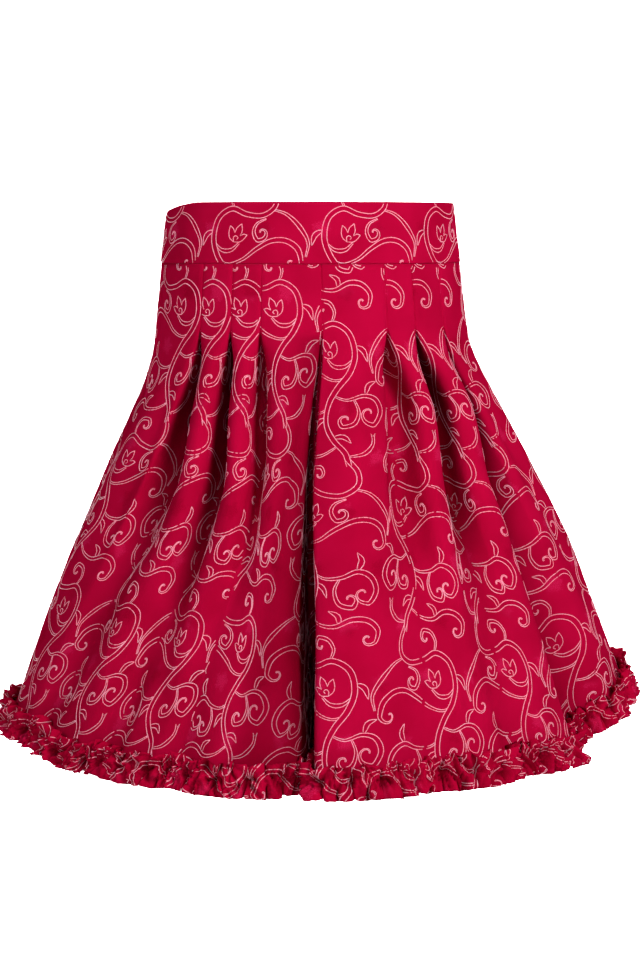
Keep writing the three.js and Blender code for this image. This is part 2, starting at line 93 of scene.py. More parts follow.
def lookUp(rows, column, drop):  # a smooth curve through one column of a table, at a drop
    at, last = [row[0] for row in rows], len(rows) - 1
    i = min(max(next((k for k, d in enumerate(at) if d >= drop), last), 1), last)
    slope = lambda p, q: (rows[q][column] - rows[p][column]) / (at[q] - at[p])
    before, after = max(i - 2, 0), min(i + 1, last)
    span = at[i] - at[i - 1]
    t = (drop - at[i - 1]) / span
    start = slope(i - 1, i) if before == i - 1 else slope(before, i)
    end = slope(i - 1, i) if after == i else slope(i - 1, after)
    low, high = rows[i - 1][column], rows[i][column]
    return (low * (1 + 2 * t) * (1 - t) ** 2 + high * t * t * (3 - 2 * t)
            + span * t * (1 - t) * (start * (1 - t) - end * t))


# The figure that the skirt is filled out on: drop under the waist, half sizes to the left, right, front and
# back, and how far its left and right are drawn in between.
figure = [
    (-27, 130, 130, 99, 99, 0, 0), (27, 136.5, 136.5, 105, 105, 0, 0), (85, 142, 143, 112, 112, 0, 0),
    (112, 145.5, 148, 119, 119, 0.01, 0.01), (150, 157, 164.5, 134, 133, 0.02, 0.03),
    (224, 190.5, 200, 166, 161, 0.04, 0.05), (335, 236, 249, 206, 198, 0.06, 0.06),
    (464, 281, 295, 241, 230, 0.08, 0.05),
]


def outlineAt(angles, drop):  # angles in degrees from the centre front, positive to the right
    angles = np.asarray(angles, float)
    s, c = np.sin(angles * degree), np.cos(angles * degree)
    left, right, front, back, drawLeft, drawRight = (lookUp(figure, k, drop) for k in range(1, 7))
    share = 1 - np.where(s < 0, drawLeft, drawRight) * (2 * s * c) ** 2
    return np.stack([np.where(s < 0, left, right) * s * share, -np.where(c < 0, back, front) * c * share], -1)


def alongOutline(angles, drop):
    return (outlineAt(np.asarray(angles) + 0.05, drop) - outlineAt(np.asarray(angles) - 0.05, drop)) / 0.1


def perDegree(angle, drop):  # millimetres of outline to a degree
    return np.linalg.norm(alongOutline(angle, drop))


def outwardAt(angles, drop):
    t = unit(alongOutline(angles, drop))
    return np.stack([t[..., 1], -t[..., 0]], -1)


def arcLength(start, end, drop):
    steps = max(4, math.ceil(abs(end - start)))
    return strides(outlineAt(np.linspace(start, end, steps + 1), drop)).sum()


def angleAt(length, side, drop):
    low, high = 0, 180
    for _ in range(30):
        middle = (low + high) / 2
        low, high = (middle, high) if arcLength(0, side * middle, drop) < length else (low, middle)
    return side * (low + high) / 2


skirt = {
    "bandFoot": 27, "top": 27.15, "stitched": 85, "upper": 150, "middle": 224, "hem": 464,  # drops
    "takeUp": 70, "centreTakeUp": 300,  # cloth folded into a knife pleat, and into the inverted one
    "edge": 1.2, "least": 0.8,  # half a fold where it is sewn, and at least
    "groove": 0.55, "wave": 5, "steep": 0.9, "openingRun": 42, "deepUntil": 0.15,
    "narrow": 0.16, "nearFlats": (85, 25),  # cloth between near pleats bulges and so narrows
    # painted shade in the folds: the depth it starts at, and the share of the fold's mouth over which it deepens,
    # for knife pleats and for the inverted one
    "foldShadeFrom": 2, "foldShadeMouth": 0.62, "foldShadeRoll": 0.6,
    "lipShade": 0.52, "lipDark": 0.76, "lipFrom": 0.3, "lipDepths": (8, 40),  # painted shade on the inverted pleat's left edge, standing in for the shadow that its right edge casts
    "pleatLift": 8, "lifts": [(42, 52, 82), (13, -50, -82)],  # how far the hem is held up, between two angles
    "thickness": 1.1, "knifeSteps": 24, "leftSteps": 44, "rightSteps": 38, "flatStep": 4.4,
    "fineRows": (79, 145), "roundings": 3, "settleRun": 30, "seamShort": 0.15, "seamTurn": 0.5,
}
stitched, hem = skirt["stitched"], skirt["hem"]
# Each pleat: angle at the stitching and at the upper and middle level, share of depth, where it dies out,
# lean, crispness of its left and right edge, then depth, lean and crispness at the hem.
pleats = [
    (-156, -154, -150, 0.55, 0.7, 5, 1.2, 2, 5, 0, 1), (-143, -141, -137, 0.8, 0.8, 6, 1.5, 2.2, 4, 0, 1),
    (-129.5, -129, -125, 0.7, 0.9, 6, 1.5, 2.2, 12, 4, 1),
    (-47.3, -49.8, -49.9, 0.85, 0.75, -7, 1.8, 1.3, 5, 0, 1),
    (-33.6, -35.1, -31.4, 0.9, 0.8, -6, 1.8, 1.4, 5, 0, 1),
    (-22, -21.3, -19.3, 0.8, 0.66, -3, 1.6, 1.4, 4, 0, 1),
    (0,),
    (24.3, 25.7, 21.5, 0.95, 0.78, 5, 1.8, 1.6, 4, 0, 1), (36.5, 44.5, 40, 0.9, 0.78, 7, 1.4, 1.9, 5, 0, 1),
    (52.5, 62, 56.6, 0.8, 0.9, 6, 1.5, 1.9, 23, -7, 1.4),
    (129.5, 129, 125, 0.75, 0.9, -6, 2.2, 1.5, 9, -3, 1.4),
    (143, 141, 137, 0.85, 0.8, -6, 2.2, 1.5, 5, 0, 1), (156, 154, 150, 0.5, 0.7, -5, 2, 1.2, 4, 0, 1),
]
centre = 6
foldShades = (0.7, 0.85, 0.8, 0.8, 0.85, 0.2, 0, 0.25, 1, 1, 0.85, 0.8, 0.6)  # painted shade inside each one's fold, from none to full
# The inverted pleat at each drop: shift to the left, half its slot, depth, lean, and the roll on each side.
invertedPleat = [
    (27, 0, 0.8, 1, 0, 0.5, 0.5), (85, 0, 1, 1, 0, 0.5, 0.5), (112, 2, 1.8, 12, 1, 4, 2),
    (150, 8, 3, 24, 2, 6, 3), (224, 17, 4, 48, 4, 13, 4), (335, 23, 8, 92, 8, 24, 5),
    (410, 24, 6, 124, 11, 34, 6), (464, 23, 4.2, 142, 13, 52, 7),
]


seamAngles = [-180] + [p[0] for p in pleats] + [180]
flats = {}  # cloth between a pleat and the next; -1 is the first after the centre back
for i in range(-1, len(pleats)):
    ends = 1 if i < 0 or i == len(pleats) - 1 else 2
    flats[i] = arcLength(seamAngles[i + 1], seamAngles[i + 2], stitched) - ends * skirt["edge"]

def openShare(drop):
    return between(drop, stitched, hem)


def pleatAngle(i, drop):
    if i == centre:
        return -lookUp(invertedPleat, 1, drop) / perDegree(0, drop)
    if drop <= stitched:
        return pleats[i][0]
    path = [(stitched, pleats[i][0]), (skirt["upper"], pleats[i][1]),
            (skirt["middle"], pleats[i][2]), (hem, hemAngles[i])]
    return lookUp(path, 1, drop)


def narrowing(i, drop):  # how much the cloth between two near pleats narrows as it bulges out
    bulge = smooth((drop - stitched) / skirt["openingRun"]) * (1 - smooth((openShare(drop) - 0.25) / 0.7))
    return skirt["narrow"] * between(flats[i], *skirt["nearFlats"]) * bulge


def halvesAt(i, drop):  # half of the width that a pleat's fold takes up, to each side
    if i == centre:
        return [lookUp(invertedPleat, 2, drop) + lookUp(invertedPleat, k, drop) for k in (5, 6)]
    here, halves = pleatAngle(i, drop), []
    for side in (-1, 1):
        if i + side == centre:  # as wide as on the other side
            continue
        flat = min(i, i + side)
        wide = flats[flat] * (1 - narrowing(flat, drop))
        if 0 <= i + side < len(pleats):
            half = (arcLength(here, pleatAngle(i + side, drop), drop) - wide) / 2
        else:
            half = arcLength(here, side * 180, drop) - wide
        halves.append(max(skirt["least"], half))
    return halves[0], halves[-1]


hemAngles = {}
for side in (-1, 1):
    moved = -side * lookUp(invertedPleat, 1, hem)
    beside = lambda i: flats[i if side > 0 else i - 1]
    length = halvesAt(centre, hem)[max(side, 0)] + beside(centre)
    lengths = {}
    i = centre + side
    while 0 <= i < len(pleats):
        lengths[i] = length + skirt["takeUp"] / 2
        length += skirt["takeUp"] + beside(i)
        i += side
    fit = (arcLength(0, side * 180, hem) - moved) / length
    for i, run in lengths.items():
        hemAngles[i] = angleAt(run * fit + moved, side, hem)


def knifeFold(i, t, drop):  # sideways offset and depth at places t from -1 to 1 across a pleat's cloth
    _, _, _, gain, ends, leanAt, crispL, crispR, hemDepth, hemLean, hemCrisp = pleats[i]
    left, right = halvesAt(i, drop)
    u = openShare(drop)
    opening = smooth(max((drop - stitched) / skirt["openingRun"], 0) ** 0.62)
    takeUp = skirt["takeUp"] / 2
    half = min((left + right) / 2, takeUp)
    dying = 1 - smooth((u - skirt["deepUntil"]) / (ends - skirt["deepUntil"]))
    full = gain * math.sqrt(takeUp ** 2 - half ** 2) * dying
    swell = skirt["wave"] * math.sin(math.pi * u ** 1.3 / 1.3)
    depth = mix(skirt["groove"], full, opening) + hemDepth * u ** 2 + swell
    crisp = np.where(t < 0, mix(crispL, hemCrisp, u), mix(crispR, hemCrisp, u))
    reach = 1 - (1 - np.abs(t)) ** crisp
    sink = mix(np.cos(math.pi * t / 2) ** 2, 1 - t * t, 0.65 * narrowing(i, drop) / skirt["narrow"])
    steep = skirt["steep"] * opening * (1 - smooth((u - 0.08) / 0.4))
    sink = mix(sink, 1 - np.abs(t) ** 3.6, steep)
    lean = (leanAt * dying + hemLean * u ** 2) * opening
    return np.where(t < 0, -left, right) * reach + lean * sink, depth * sink


def invertedFold(t, drop):  # a roll at each edge, two flat flanks and a round bottom
    half, depth, lean = (lookUp(invertedPleat, k, drop) for k in (2, 3, 4))
    roll = np.where(t < 0, lookUp(invertedPleat, 5, drop), lookUp(invertedPleat, 6, drop))
    rise, rollDrop = min(half, depth / 2), np.minimum(roll, depth / 2)
    bottom = (half + rise) / 2 * math.pi / 2
    edge = (roll + rollDrop) / 2 * math.pi / 2
    flank = depth - rise - rollDrop
    run = np.abs(t) * (bottom + flank + edge)
    arcs = (0, bottom), (bottom + flank, edge)
    a, b = (between(run - start, 0, size) * math.pi / 2 for start, size in arcs)
    x = np.where(run < bottom, half * np.sin(a), half + roll * (1 - np.cos(b)))
    n = np.where(run < bottom, depth - rise * (1 - np.cos(a)),
                 np.where(run < bottom + flank, depth - rise - (run - bottom), rollDrop * (1 - np.sin(b))))
    return np.sign(t) * x + lean * (n / depth), n


# Columns of the cloth from the centre back round the front, in blocks: across a pleat or along a flat.
blocks, columnCount = [], 0  # (kind, index, places, first column)
foldMiddle, flatFirst, flatShares = {}, {}, {}
for i in range(-1, len(pleats)):
    if i >= 0:
        spots = spread(-1, 1, skirt["knifeSteps"])
        if i == centre:
            spots = np.append(spread(-1, 0, skirt["leftSteps"]), spread(0, 1, skirt["rightSteps"]))
        blocks.append(("fold", i, spots, columnCount))
        foldMiddle[i] = columnCount + int(np.argmin(np.abs(spots)))
        columnCount += len(spots)
    steps = max(4, round(flats[i] / skirt["flatStep"] / 2) * 2)
    flatShares[i] = spread(0, 1, steps) if i < len(pleats) - 1 else np.linspace(0, 1, steps + 1)
    flatFirst[i] = columnCount
    blocks.append(("flat", i, flatShares[i], columnCount))
    columnCount += len(flatShares[i])

fineTop, fineFoot = skirt["fineRows"]
rowDrops = np.concatenate([
    spread(skirt["top"], fineTop, 9), spread(fineTop, fineFoot, 24), np.linspace(fineFoot, hem, 76)])


def skirtRow(drop):
    places, (angles, deep, paintedShade) = np.zeros((columnCount, 2)), np.zeros((3, columnCount))
    opening = smooth((drop - stitched) / 9)
    edges = {-1: (0, 1, 0, -180), len(pleats): (0, 1, 180, 0)}
    for i in range(len(pleats)):
        middle = pleatAngle(i, drop)
        pace = perDegree(middle, drop)
        left, right = halvesAt(i, drop)
        edges[i] = (middle, pace, middle - left / pace, middle + right / pace, left + right)
    for kind, i, spots, first in blocks:
        part = slice(first, first + len(spots))
        if kind == "fold":
            middle, pace = edges[i][:2]
            across, depth = invertedFold(spots, drop) if i == centre else knifeFold(i, spots, drop)
            angles[part] = middle + across / pace
            places[part] = outlineAt(angles[part], drop) - outwardAt(middle, drop) * depth[:, None]
            # painted shade, deepening with the depth in the fold
            mouth = edges[i][4] * (skirt["foldShadeRoll"] if i == centre else skirt["foldShadeMouth"])
            paintedShade[part] = foldShades[i] * opening * smooth((depth - skirt["foldShadeFrom"]) / mouth)
            if i == centre:  # painted shade: the left edge rolls into the shadow of the right one
                deep[part] = depth / invertedPleat[-1][3]
                rolled = smooth(depth / mix(*skirt["lipDepths"], (drop / hem) ** 6))
                paintedLipShade = opening * mix(skirt["lipShade"], skirt["lipDark"], rolled)
                paintedShade[part] = np.where(spots < 0, paintedLipShade, paintedShade[part])
        else:
            start, end = edges[i][3], edges[i + 1][2]
            angles[part] = mix(start, end, spots)
            spare = flats[i] * narrowing(i, drop)
            # painted shade on the flat beside the inverted pleat, darker towards the pleat
            if i == centre - 1:
                paintedShade[part] = skirt["lipShade"] * opening * smooth(between(spots, skirt["lipFrom"], 1))
            out = math.sqrt(3 / 8 * arcLength(start, end, drop) * spare) * 4 * spots * (1 - spots)
            places[part] = outlineAt(angles[part], drop) + outwardAt(angles[part], drop) * out[:, None]
    held = sum(rise * smooth((angles - a) / (b - a)) for rise, a, b in skirt["lifts"])
    held = held * smooth((180 - np.abs(angles)) / 60)
    z = -drop + between(drop, skirt["bandFoot"], hem) * (held + skirt["pleatLift"] * deep)
    return np.column_stack([places, z]), angles, paintedShade


# columns x rows: places in millimetres, angles, and how much painted shade a point gets deep in its fold, from 0
# to 1
cloth, clothAngles, clothPaintedShade = (np.stack(layer, 1) for layer in zip(*map(skirtRow, rowDrops)))
print(f"skirt cloth laid out: {cloth.shape[0]} columns, {cloth.shape[1]} rows")


def gridNormals(grid):
    across, down = np.gradient(grid, axis=0), np.gradient(grid, axis=1)
    return unit(np.cross(down, across))


# soft rounding of the folds' edges, below the stitching only
settled = smooth((rowDrops - stitched) / skirt["settleRun"])[None, :, None]
for _ in range(skirt["roundings"]):
    rounded = cloth.copy()
    rounded[1:-1] = 0.25 * cloth[:-2] + 0.5 * cloth[1:-1] + 0.25 * cloth[2:]
    cloth = mix(cloth, rounded, settled)

# Creases: where each starts and ends (angle, drop), half width, height (a trough if below 0), and bend in
# degrees. The first ones are at the front, the others are like them at the sides and the back.
creases = [
    (-40, 100, -42, 300, 9, 2.6, 1), (-27, 96, -25, 250, 8, 2.2, -0.8), (-12, 92, -15, 330, 11, 2.4, 1.2),
    (-60, 96, -70, 330, 12, -2.8, 2), (-66, 110, -83, 420, 14, 2.6, -2),
    (-78, 90, -92, 300, 13, -2, 1), (-34, 230, -36, 455, 13, -3, -1.5),
    (-24, 210, -27, 440, 10, 2.2, 1.4), (-52, 260, -55, 452, 12, 2.8, 1.2),
    (-45, 300, -46, 458, 9, -2.4, 0.8), (-16, 260, -17, 420, 10, -2, -1),
    (-64, 330, -66, 460, 10, -2.2, 0.5), (9, 95, 7, 380, 10, 2, -1.2), (14, 120, 13, 300, 9, -1.8, 0.8),
    (18, 200, 18, 440, 11, 2.6, 1), (30, 150, 29, 360, 10, 2.4, -1.2), (26, 260, 27, 455, 10, -2.8, 1),
    (35, 230, 36, 450, 12, -2.4, -1), (41, 300, 43, 456, 9, 2.4, 0.6), (48, 190, 50, 430, 11, 2.6, 1.5),
    (44, 120, 50, 300, 8, 1.8, 0.5), (60, 96, 72, 330, 10, 2.2, 1), (66, 120, 80, 440, 12, -3, 2),
    (74, 100, 90, 380, 14, 2.4, -1.5), (70, 300, 73, 455, 9, 2.4, 0.6), (6, 300, 5, 450, 9, -1.8, 0.6),
    (-100, 92, -104, 330, 14, 2.6, 1.5), (-112, 100, -114, 420, 13, -2.8, -1.5),
    (-121, 110, -118, 300, 9, 2.2, 0.8), (-135, 100, -131, 330, 10, 2.4, -1),
    (-149, 96, -144, 300, 10, -2.2, 1), (-168, 94, -166, 380, 13, 2.4, 1.4),
    (-128, 260, -126, 452, 11, 2.8, 1), (-140, 250, -138, 456, 12, -2.6, -1.2),
    (-155, 240, -152, 440, 11, 2.6, 0.8), (-174, 230, -173, 450, 10, -2, 0.5),
    (-106, 290, -108, 456, 12, 2.4, 1), (98, 94, 103, 350, 13, -2.6, 1.4),
    (110, 100, 112, 430, 12, 2.8, -1.2), (120, 104, 117, 280, 9, -2, 0.6),
    (136, 98, 132, 340, 10, 2.4, 1.1), (150, 100, 146, 310, 9, 2.2, -0.7),
    (166, 96, 165, 400, 12, -2.6, 1.2), (130, 250, 128, 450, 12, -2.6, -0.8),
    (145, 240, 142, 455, 11, 2.6, 1.3), (160, 260, 157, 445, 10, -2.4, 0.7),
    (173, 240, 172, 452, 11, 2.2, -0.9), (104, 300, 106, 455, 11, -2.4, 1),
]
relief = np.zeros(cloth.shape[:2])
for a0, d0, a1, d1, half, height, bend in creases:
    s = between(rowDrops, d0, d1)
    path = mix(a0, a1, s) + bend * np.sin(math.pi * s)
    pace = np.array([perDegree(round(a0 / 10) * 10, drop) for drop in rowDrops])
    relief += height * smooth(s / 0.3) * smooth((1 - s) / 0.3) * bell((clothAngles - path) * pace / half)

# the hem is drawn up a little by its gathered strip, in short ripples that die out above it
drawn = {"height": 1, "reach": 46, "length": 31}
hemRun = runAlong(cloth[:, -1])
ripple = np.sin(2 * math.pi * hemRun / drawn["length"] + 1.3 * np.sin(hemRun / 57))
ripple *= 0.7 + 0.3 * np.sin(hemRun / 91)
fadeUp = bell((hem - rowDrops) / drawn["reach"])
outOfPleat = np.ones(columnCount)
for kind, i, places, first in blocks:
    if kind == "fold" and i == centre:
        outOfPleat[first:first + len(places)] = smooth((np.abs(places) - 0.55) / 0.4)
relief = (relief + drawn["height"] * ripple[:, None] * fadeUp) * outOfPleat[:, None]
cloth = cloth + gridNormals(cloth) * relief[..., None] * settled
clothNormals = gridNormals(cloth)
flatFacing = np.stack([cloth[..., 0] / 1.3, cloth[..., 1], np.zeros(cloth.shape[:2])], -1)
clothNormals = unit(mix(unit(flatFacing), clothNormals, settled))
print("folds rounded and", len(creases), "creases placed")

# A point of the cloth has a place across it (from the centre back, in millimetres) and down it. What is
# folded away inside a pleat keeps its own stretch of cloth, so the pattern breaks where a pleat is sewn.
stepRuns = np.vstack([np.zeros((1, len(rowDrops))), strides(cloth)])
down = runAlong(cloth[flatFirst[2] + 4])
acrossRight, acrossLeft = np.zeros(cloth.shape[:2]), np.zeros(cloth.shape[:2])
clothStart = 0
panels = []  # one for each flat: its first and last column
for i in range(-1, len(pleats)):
    first, shares = flatFirst[i], flatShares[i]
    last = first + len(shares) - (1 if i == len(pleats) - 1 else 0)  # the column at share 1
    begin = foldMiddle.get(i, first)
    end = foldMiddle.get(i + 1, last)
    across = np.zeros((end - begin + 1, cloth.shape[1]))
    across[first - begin:last - begin + 1] = np.append(shares, 1)[:last - first + 1, None] * flats[i]
    for edge, stop, sign in ((first, begin, -1), (last, end, 1)):
        if edge == stop:
            continue
        cols = np.arange(edge, stop + sign, sign)
        runs = np.cumsum(stepRuns[np.maximum(cols[:-1], cols[1:])], axis=0)
        if centre != (i if sign < 0 else i + 1):
            share = runs[-1] / (skirt["takeUp"] / 2)
            runs = runs * mix(1, 1 / share, smooth((share - 0.55) / 0.25))
        across[cols[1:] - begin] = (0 if sign < 0 else flats[i]) + sign * runs
    panels.append({"flat": i, "begin": begin, "end": end, "start": clothStart, "across": across + clothStart})
    acrossRight[begin:end] = across[:-1] + clothStart
    acrossLeft[begin + 1:end + 1] = across[1:] + clothStart
    clothStart += flats[i] + (skirt["centreTakeUp"] if i + 1 == centre else skirt["takeUp"])
clothWidth = clothStart - skirt["takeUp"]
print(f"cloth is {clothWidth:.0f} mm round and {down[-1]:.0f} mm deep")


class Wire:  # a shader socket that works in Python sums
    def __init__(self, tree, socket=None):
        self.tree, self.socket = tree, socket

    def make(self, kind, inputs, output=0, **settings):
        node = self.tree.nodes.new(kind)
        for name, value in settings.items():
            setattr(node, name, value)
        for name, value in inputs.items():
            if isinstance(value, Wire):
                self.tree.links.new(value.socket, node.inputs[name])
            else:
                node.inputs[name].default_value = value
        return Wire(self.tree, node.outputs[output])

    def maths(self, operation, other=0):
        return self.make("ShaderNodeMath", {0: self, 1: other}, operation=operation)

    def __add__(self, other):
        return self.maths("ADD", other)

    def __mul__(self, other):
        return self.maths("MULTIPLY", other)

    def __sub__(self, other):
        return self.maths("SUBTRACT", other)

    def __rsub__(self, other):
        return self.make("ShaderNodeMath", {0: other, 1: self}, operation="SUBTRACT")

    def ramp(self, low, high):  # 0 at low, 1 at high, eased
        return self.make("ShaderNodeMapRange", {"Value": self, "From Min": low, "From Max": high},
                         interpolation_type="SMOOTHSTEP")

    def tint(self, a, b):  # a colour from a to b as this value goes from 0 to 1
        return self.make("ShaderNodeMix", {0: self, 6: a, 7: b}, 2, data_type="RGBA")

    def noise(self, scale, detail):
        return self.make("ShaderNodeTexNoise", {"Vector": self, "Scale": scale, "Detail": detail})

    def plug(self, socket):
        self.tree.links.new(self.socket, self.tree.nodes["Principled BSDF"].inputs[socket])

    def bump(self, strength, distance):  # this value as a height
        inputs = {"Strength": strength, "Distance": distance, "Height": self}
        self.make("ShaderNodeBump", inputs).plug("Normal")


def newMaterial(name, base, woven=False, **settings):  # and the place that its patterns go by
    material = bpy.data.materials.new(name)
    material.use_nodes = True
    material.diffuse_color = base
    tree = material.node_tree
    tree.nodes.clear()
    shader = tree.nodes.new("ShaderNodeBsdfPrincipled")
    tree.links.new(shader.outputs[0], tree.nodes.new("ShaderNodeOutputMaterial").inputs[0])
    shader.inputs["Base Color"].default_value = base
    for socket, value in settings.items():
        shader.inputs[socket.replace("_", " ")].default_value = value
    if woven:
        return material, Wire(tree).make("ShaderNodeUVMap", {}, uv_map="clothPlan")
    return material, Wire(tree).make("ShaderNodeTexCoord", {}, 3)


def foldShaded(mixed, fold):  # painted shade: the colour is darkened towards a fold colour where the cloth lies deep in a fold
    paintedShade = mixed.make("ShaderNodeAttribute", {}, 2, attribute_name="paintedShade")
    return (paintedShade * brocade["foldShade"]).tint(mixed, fold)


def colour(*levels):  # red, green and blue from 0 to 255 as on a screen
    return tuple(((c / 255 + 0.055) / 1.055) ** 2.4 if c > 10.3 else c / 255 / 12.92 for c in levels) + (1,)


brocade = {
    "ground": colour(181, 6, 54), "shade": colour(166, 4, 46),
    "trim": colour(182, 5, 51), "trimShade": colour(158, 3, 41),
    "spot": colour(214, 34, 90), "spotDeep": colour(136, 0, 30),  # the sprigs, in light and in dark patches
    "spotAcross": 50, "spotDown": 48, "spotSize": 8, "petals": 1.1, "ragged": 15,
    "fold": colour(84, 0, 10), "foldShade": 0.92,  # painted shade for cloth deep in a fold: its colour and strength
    # the third thread colour is painted shade, for threads deep in a fold
    "thread": colour(255, 98, 128), "threadLight": colour(255, 184, 206), "threadPaintedShade": colour(96, 8, 20),
    "lining": colour(128, 6, 40), "liningLight": colour(150, 10, 50),
    "roughness": 0.55, "warp": 0.75, "weft": 0.9, "weave": 0.00016,
}


def brocadeMaterial(name, ground, shade):
    material, plan = newMaterial(name, ground, woven=True, Specular_IOR_Level=0)
    split = plan.make("ShaderNodeSeparateXYZ", {0: plan})
    across, downCloth = split * 100, Wire(plan.tree, split.socket.node.outputs[1]) * 100
    # sprigs of five petals in the same colour, in staggered rows
    downRow = downCloth * (1 / brocade["spotDown"])
    acrossRow = across * (1 / brocade["spotAcross"]) + downRow.maths("FLOOR") * 0.5
    x = (acrossRow.maths("FRACT") - 0.5) * brocade["spotAcross"]
    y = (downRow.maths("FRACT") - 0.5) * brocade["spotDown"]
    radius = (x * x + y * y).maths("SQRT") + plan.noise(62, 3) * brocade["ragged"]
    petals = (y.maths("ARCTAN2", x) * 5).maths("COSINE") * brocade["petals"]
    sprig = 1 - (radius - petals - brocade["spotSize"]).ramp(3.5, 8.5)
    patches, speckle = plan.noise(1.7, 2), plan.noise(150, 1)
    base = patches.ramp(0.3, 0.75).tint(ground, shade)
    spots = patches.ramp(0.46, 0.56).tint(brocade["spot"], brocade["spotDeep"])
    spotted = (sprig * speckle.ramp(0.35, 0.65) * 0.7).tint(base, spots)
    foldShaded(spotted, brocade["fold"]).plug("Base Color")
    (brocade["roughness"] - sprig * 0.07 + patches * 0.06).plug("Roughness")
    # a satin ground: fine floats along the warp, crossed by the weft
    warp = (across * (2 * math.pi / brocade["warp"]) + downCloth * 2.6).maths("SINE")
    weft = (downCloth * (2 * math.pi / brocade["weft"])).maths("SINE")
    height = warp * 0.4 + weft * 0.25 + sprig * 0.9 + plan.noise(34, 4) * 2
    height.bump(0.35, brocade["weave"])
    return material


def threadMaterial():
    material, place = newMaterial(
        "scrollThread", colour(246, 132, 142), Sheen_Weight=0.2, Specular_IOR_Level=0.45)
    floats, tone = place.noise(900, 1), place.noise(60, 2)
    strand = floats.ramp(0.3, 0.6) * 0.75 + tone.ramp(0.3, 0.7) * 0.25
    mixed = strand.tint(brocade["thread"], brocade["threadLight"])
    foldShaded(mixed, brocade["threadPaintedShade"]).plug("Base Color")
    (0.5 - floats * 0.16).plug("Roughness")
    floats.bump(0.5, 0.0002)
    return material


def liningMaterial():
    material, plan = newMaterial(
        "plainLining", colour(140, 8, 44), woven=True, Sheen_Weight=0.12, Specular_IOR_Level=0.3)
    plan.noise(3, 3).ramp(0.3, 0.7).tint(brocade["lining"], brocade["liningLight"]).plug("Base Color")
    weave = plan.noise(90, 2)
    (weave * 0.12 + 0.55).plug("Roughness")
    weave.bump(0.3, 0.00015)
    return material


skirtCloth = brocadeMaterial("skirtBrocade", brocade["ground"], brocade["shade"])
bandCloth = brocadeMaterial("waistbandBrocade", brocade["ground"], brocade["shade"])
trimCloth = brocadeMaterial("ruchingBrocade", brocade["trim"], brocade["trimShade"])
thread, lining = threadMaterial(), liningMaterial()
print("materials ready")


def addObject(name, data):
    added = bpy.data.objects.new(name, data)
    bpy.context.scene.collection.objects.link(added)
    return added


def addPiece(name, points, faces, materials, faceSlots=None, plan=None, paintedShade=None):
    mesh = bpy.data.meshes.new(name)
    mesh.from_pydata((points * mm).tolist(), [], faces)
    for material in materials:
        mesh.materials.append(material)
    mesh.polygons.foreach_set("use_smooth", np.ones(len(mesh.polygons), bool))
    if plan is not None:
        mesh.polygons.foreach_set("material_index", np.asarray(faceSlots, np.int32))
        mesh.uv_layers.new(name="clothPlan").data.foreach_set("uv", np.asarray(plan, np.float32).ravel())
    if paintedShade is not None:
        layer = mesh.attributes.new("paintedShade", "FLOAT", "POINT")
        layer.data.foreach_set("value", np.asarray(paintedShade, np.float32).ravel())
    mesh.update()
    return addObject(name, mesh)


def triangles(piece):
    return sum(len(p.vertices) - 2 for p in piece.data.polygons)


def quads(a, b, c, d):
    return np.stack([a, b, c, d], -1).reshape(-1, 4)


def clothShell(name, outer, normals, plan, thickness, materials, paintedShade=None, ring=False):
    # a thin closed shell: outer face, inner face and rims, of which a ring has no left and right one
    planRight, planLeft, planDown = plan
    count = outer.shape[0] * outer.shape[1]
    points = np.concatenate([outer.reshape(-1, 3), (outer - normals * thickness).reshape(-1, 3)])
    ids = np.arange(count).reshape(outer.shape[:2])
    if ring:
        ids = np.vstack([ids, ids[:1]])
    back = ids + count
    a, b, c, d = ids[:-1, :-1], ids[:-1, 1:], ids[1:, 1:], ids[1:, :-1]
    faces = [
        quads(a, b, c, d), quads(a, d, c, b) + count,
        quads(ids[:-1, 0], ids[1:, 0], back[1:, 0], back[:-1, 0]),
        quads(ids[:-1, -1], back[:-1, -1], back[1:, -1], ids[1:, -1])]
    corner = lambda u, v: np.stack([u, np.broadcast_to(v, u.shape)], -1)
    flatPlan = lambda u, v: np.stack([corner(u, v)] * 4, 1)
    begin, stop = planRight[:-1], planLeft[1:]
    corners = [corner(begin[:, :-1], planDown[:-1]), corner(begin[:, 1:], planDown[1:]),
               corner(stop[:, 1:], planDown[1:]), corner(stop[:, :-1], planDown[:-1])]
    orders = (0, 1, 2, 3), (0, 3, 2, 1)
    plans = [np.stack([corners[k] for k in order], 2).reshape(-1, 4, 2) for order in orders]
    plans += [flatPlan(begin[:, k], planDown[k]) for k in (0, 0 if ring else -1)]
    if not ring:
        faces += [quads(ids[0, :-1], back[0, :-1], back[0, 1:], ids[0, 1:]),
                  quads(ids[-1, :-1], ids[-1, 1:], back[-1, 1:], back[-1, :-1])]
        plans += [flatPlan(planRight[0, :-1], planDown[:-1]), flatPlan(planLeft[-1, :-1], planDown[:-1])]
    slots = np.repeat([0, len(materials) - 1] + [0] * (len(faces) - 2), [len(part) for part in faces])
    if paintedShade is not None:
        paintedShade = np.concatenate([paintedShade.ravel(), paintedShade.ravel() * ring])
    faces, plans = np.concatenate(faces).tolist(), np.concatenate(plans) / 100
    return addPiece(name, points, faces, materials, slots, plans, paintedShade)


def turnedIn(outer, normals):  # the seam allowance turns in at both ends
    outer = outer.copy()
    for at, sign in ((0, 1), (-1, -1)):
        outer[at] += unit(outer[at + sign] - outer[at]) * skirt["seamShort"] - normals[at] * skirt["seamTurn"]
    return outer
